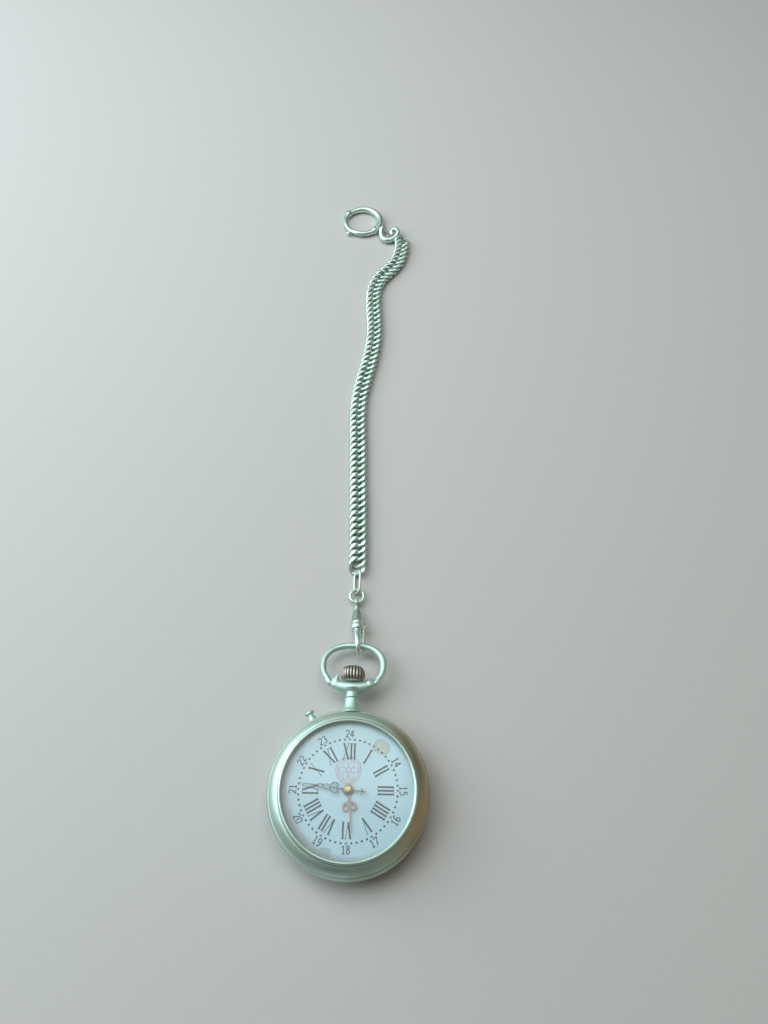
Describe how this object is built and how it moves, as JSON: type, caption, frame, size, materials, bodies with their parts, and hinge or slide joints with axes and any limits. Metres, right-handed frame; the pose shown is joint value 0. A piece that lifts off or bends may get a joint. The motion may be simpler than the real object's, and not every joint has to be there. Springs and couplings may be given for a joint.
{
  "type": "pocket watch",
  "caption": "Open-face pocket watch with crown winding, a pin-set button, a hinged back and a movement inside, on a curb chain with a swivel clasp and a bolt ring.",
  "frame": {"origin": "centre of the flat resting face of the back cover", "axes": "+Z out of the dial, +Y to twelve o'clock and along the chain, +X to three o'clock"},
  "size_m": [0.054, 0.3072, 0.0147],
  "materials": {
    "nickel_case": "worn nickel silver, softly polished, with a warm patina towards the edges",
    "aged_nickel": "darker nickel plate with dirt between the ribs",
    "chain_nickel": "nickel plate, polished on the wearing faces and dark in the gaps",
    "watch_glass": "clear domed watch glass",
    "dial_enamel": "fired enamel, glossy, with printed numerals and a few old stains",
    "movement_brass": "gilt brass, fine grain",
    "movement_steel": "polished steel",
    "hand_metal": "aged gilt hands"
  },
  "bodies": {
    "case": {"case_middle": "nickel_case", "bezel": "nickel_case", "crystal": "watch_glass", "cover_hinge_pin": "movement_steel", "pendant_tube": "nickel_case", "pendant_yoke": "nickel_case", "set_button_tube": "nickel_case", "case_screw": "movement_steel", "main_plate": "movement_brass", "barrel_bridge": "aged_nickel", "train_bridge": "aged_nickel", "balance_cock": "aged_nickel", "barrel_bridge_screw_left": "movement_steel", "barrel_bridge_screw_right": "movement_steel", "train_bridge_screw": "movement_steel", "balance_cock_screw": "movement_steel", "dial": "dial_enamel"},
    "back_cover": {"back_cover": "nickel_case"},
    "bow": {"bow": "nickel_case"},
    "crown": {"crown": "aged_nickel", "winding_stem": "movement_steel", "winding_pinion": "movement_steel"},
    "crown_wheel": {"crown_wheel": "movement_steel"},
    "barrel_arbor": {"ratchet_wheel": "movement_steel", "barrel_arbor": "movement_steel"},
    "click": {"click": "movement_steel"},
    "set_button": {"set_button": "nickel_case"},
    "setting_lever": {"setting_lever": "movement_steel"},
    "minute_hand": {"minute_hand": "hand_metal", "cannon_pinion": "movement_steel"},
    "minute_wheel": {"minute_wheel": "movement_brass"},
    "hour_hand": {"hour_hand": "hand_metal", "hour_wheel": "movement_brass"},
    "barrel": {"mainspring_barrel": "movement_brass", "mainspring": "movement_steel"},
    "centre_wheel": {"centre_wheel": "movement_brass"},
    "third_wheel": {"third_wheel": "movement_brass"},
    "fourth_wheel": {"fourth_wheel": "movement_brass"},
    "escape_wheel": {"escape_wheel": "movement_brass"},
    "pallet_fork": {"pallet_fork": "movement_steel"},
    "balance": {"balance_wheel": "movement_brass", "hairspring": "movement_steel"},
    "regulator": {"regulator": "movement_steel"},
    "swivel_hook": {"swivel_hook": "chain_nickel"},
    "swivel_gate": {"swivel_gate": "chain_nickel"},
    "swivel_eye": {"swivel_eye": "chain_nickel"},
    "swivel_ring": {"swivel_ring": "chain_nickel"},
    "end_link": {"end_link": "chain_nickel"},
    "chain_run_01": {"chain_run_01": "chain_nickel"},
    "chain_run_02": {"chain_run_02": "chain_nickel"},
    "chain_run_03": {"chain_run_03": "chain_nickel"},
    "chain_run_04": {"chain_run_04": "chain_nickel"},
    "chain_run_05": {"chain_run_05": "chain_nickel"},
    "chain_run_06": {"chain_run_06": "chain_nickel"},
    "chain_run_07": {"chain_run_07": "chain_nickel"},
    "chain_run_08": {"chain_run_08": "chain_nickel"},
    "chain_run_09": {"chain_run_09": "chain_nickel"},
    "tail_link": {"tail_link": "chain_nickel"},
    "bolt_ring": {"bolt_ring": "chain_nickel"},
    "ring_bolt": {"ring_bolt": "chain_nickel"}
  },
  "joints": [
    {"name": "back_cover_hinge", "type": "hinge", "parent": "case", "child": "back_cover", "pos_m": [-0.02575, 0, 0.00375], "axis": [0, 1, 0], "range_deg": [0, 100]},
    {"name": "bow_swing", "type": "hinge", "parent": "case", "child": "bow", "pos_m": [0, 0.0366, 0.0066], "axis": [1, 0, 0], "range_deg": [-65, 80]},
    {"name": "crown_turn", "type": "hinge", "parent": "case", "child": "crown", "pos_m": [0, 0.037, 0.0066], "axis": [0, 1, 0], "continuous": true},
    {"name": "crown_wheel_turn", "type": "hinge", "parent": "case", "child": "crown_wheel", "pos_m": [0, 0.01353, 0.0036], "axis": [0, 0, 1], "continuous": true},
    {"name": "ratchet_turn", "type": "hinge", "parent": "case", "child": "barrel_arbor", "pos_m": [-0.00502, 0.00717, 0.007], "axis": [0, 0, 1], "continuous": true},
    {"name": "click_rock", "type": "hinge", "parent": "case", "child": "click", "pos_m": [-0.01067, 0.00321, 0.0036], "axis": [0, 0, 1], "range_deg": [0, 12], "stiffness_Nm_per_rad": 0.0001},
    {"name": "set_button_push", "type": "slide", "parent": "case", "child": "set_button", "axis": [0.4909, -0.8712, 0], "range_m": [0, 0.0009], "stiffness_N_per_m": 400, "springref_m": -0.0003},
    {"name": "setting_lever_turn", "type": "hinge", "parent": "case", "child": "setting_lever", "pos_m": [-0.0124, 0.0132, 0.0066], "axis": [0, 0, 1], "range_deg": [-17, 0]},
    {"name": "minute_hand_turn", "type": "hinge", "parent": "case", "child": "minute_hand", "pos_m": [0, 0, 0.012], "axis": [0, 0, 1], "continuous": true},
    {"name": "minute_wheel_turn", "type": "hinge", "parent": "case", "child": "minute_wheel", "pos_m": [0.0022, 0.00381, 0.00935], "axis": [0, 0, 1], "continuous": true},
    {"name": "hour_hand_turn", "type": "hinge", "parent": "case", "child": "hour_hand", "pos_m": [0, 0, 0.011], "axis": [0, 0, 1], "continuous": true},
    {"name": "fourth_wheel_turn", "type": "hinge", "parent": "case", "child": "fourth_wheel", "pos_m": [0.00324, -0.00683, 0.0052], "axis": [0, 0, 1], "continuous": true},
    {"name": "third_wheel_turn", "type": "hinge", "parent": "case", "child": "third_wheel", "pos_m": [0.00489, -0.00228, 0.0052], "axis": [0, 0, 1], "continuous": true},
    {"name": "centre_wheel_turn", "type": "hinge", "parent": "case", "child": "centre_wheel", "pos_m": [0, 0, 0.0052], "axis": [0, 0, 1], "continuous": true},
    {"name": "barrel_turn", "type": "hinge", "parent": "case", "child": "barrel", "pos_m": [-0.00502, 0.00717, 0.007], "axis": [0, 0, 1], "continuous": true},
    {"name": "escape_wheel_turn", "type": "hinge", "parent": "case", "child": "escape_wheel", "pos_m": [-0.00131, -0.00764, 0.0052], "axis": [0, 0, 1], "continuous": true},
    {"name": "pallet_rock", "type": "hinge", "parent": "case", "child": "pallet_fork", "pos_m": [-0.00561, -0.00793, 0.0063], "axis": [0, 0, 1], "range_deg": [-4, 4]},
    {"name": "balance_swing", "type": "hinge", "parent": "case", "child": "balance", "pos_m": [-0.0096, -0.0082, 0.0055], "axis": [0, 0, 1], "range_deg": [-220, 220], "stiffness_Nm_per_rad": 0.000003},
    {"name": "regulator_turn", "type": "hinge", "parent": "case", "child": "regulator", "pos_m": [-0.0096, -0.0082, 0.0035], "axis": [0, 0, 1], "range_deg": [-10, 10]},
    {"name": "hook_swing", "type": "hinge", "parent": "bow", "child": "swivel_hook", "pos_m": [0, 0.05108, 0.00405], "axis": [1, 0, 0], "range_deg": [-60, 60]},
    {"name": "gate_open", "type": "hinge", "parent": "swivel_hook", "child": "swivel_gate", "pos_m": [0.00305, 0.0576, 0.003], "axis": [0.8636, -0.0481, 0.5019], "range_deg": [0, 25], "stiffness_Nm_per_rad": 0.002, "springref_deg": -5.73},
    {"name": "eye_swivel", "type": "hinge", "parent": "swivel_hook", "child": "swivel_eye", "pos_m": [0, 0.0662, 0.0021], "axis": [-0.0438, 0.9854, -0.1642], "continuous": true},
    {"name": "swivel_ring_swing", "type": "hinge", "parent": "swivel_eye", "child": "swivel_ring", "pos_m": [0.0001, 0.0688, 0.0019], "axis": [1, 0, 0], "range_deg": [-60, 60]},
    {"name": "end_link_swing", "type": "hinge", "parent": "swivel_ring", "child": "end_link", "pos_m": [0.0002, 0.0739, 0.0019], "axis": [1, 0, 0], "range_deg": [-40, 40]},
    {"name": "chain_hinge_01", "type": "hinge", "parent": "end_link", "child": "chain_run_01", "pos_m": [-0.0001, 0.0824, 0.0015], "axis": [0, 0, 1], "range_deg": [-25, 25]},
    {"name": "chain_hinge_02", "type": "hinge", "parent": "chain_run_01", "child": "chain_run_02", "pos_m": [-0.0006, 0.1085, 0.0015], "axis": [0.9994, 0.0345, 0], "range_deg": [-25, 25]},
    {"name": "chain_hinge_03", "type": "hinge", "parent": "chain_run_02", "child": "chain_run_03", "pos_m": [-0.0015, 0.1346, 0.0015], "axis": [0, 0, 1], "range_deg": [-29.3, 30.7]},
    {"name": "chain_hinge_04", "type": "hinge", "parent": "chain_run_03", "child": "chain_run_04", "pos_m": [-0.0021, 0.1607, 0.0015], "axis": [0.9852, -0.1711, 0], "range_deg": [-25, 25]},
    {"name": "chain_hinge_05", "type": "hinge", "parent": "chain_run_04", "child": "chain_run_05", "pos_m": [0.0016, 0.182, 0.0015], "axis": [0, 0, 1], "range_deg": [-34.2, 25.8]},
    {"name": "chain_hinge_06", "type": "hinge", "parent": "chain_run_05", "child": "chain_run_06", "pos_m": [0.0036, 0.2022, 0.0015], "axis": [0.9986, 0.052, 0], "range_deg": [-25, 25]},
    {"name": "chain_hinge_07", "type": "hinge", "parent": "chain_run_06", "child": "chain_run_07", "pos_m": [0.0027, 0.2195, 0.0015], "axis": [0, 0, 1], "range_deg": [-15, 45]},
    {"name": "chain_hinge_08", "type": "hinge", "parent": "chain_run_07", "child": "chain_run_08", "pos_m": [0.0052, 0.2312, 0.0015], "axis": [0.7939, -0.6081, 0], "range_deg": [-25, 25]},
    {"name": "chain_hinge_09", "type": "hinge", "parent": "chain_run_08", "child": "chain_run_09", "pos_m": [0.0124, 0.2406, 0.0015], "axis": [0, 0, 1], "range_deg": [-57.1, 2.9]},
    {"name": "tail_link_swing", "type": "hinge", "parent": "chain_run_09", "child": "tail_link", "pos_m": [0.0156, 0.2582, 0.0015], "axis": [0, 0, 1], "range_deg": [-30, 12]},
    {"name": "bolt_ring_swing", "type": "hinge", "parent": "tail_link", "child": "bolt_ring", "pos_m": [0.00568, 0.26415, 0.0018], "axis": [0, 0, 1], "range_deg": [-20, 20]},
    {"name": "ring_bolt_turn", "type": "hinge", "parent": "bolt_ring", "child": "ring_bolt", "pos_m": [-0.0038, 0.2703, 0.0015], "axis": [0, 0, 1], "range_deg": [0, 50], "stiffness_Nm_per_rad": 0.0005, "springref_deg": -11.46}
  ],
  "couplings": [
    {"joint": "crown_wheel_turn", "follows": "crown_turn", "ratio": 0.75},
    {"joint": "ratchet_turn", "follows": "crown_turn", "ratio": -0.5},
    {"joint": "setting_lever_turn", "follows": "set_button_push", "rad_per_m": -300.71},
    {"joint": "minute_wheel_turn", "follows": "minute_hand_turn", "ratio": -0.33333},
    {"joint": "hour_hand_turn", "follows": "minute_hand_turn", "ratio": 0.083333},
    {"joint": "third_wheel_turn", "follows": "fourth_wheel_turn", "ratio": -0.13333},
    {"joint": "centre_wheel_turn", "follows": "fourth_wheel_turn", "ratio": 0.016667},
    {"joint": "barrel_turn", "follows": "fourth_wheel_turn", "ratio": -0.0027778},
    {"joint": "escape_wheel_turn", "follows": "fourth_wheel_turn", "ratio": -10}
  ]
}
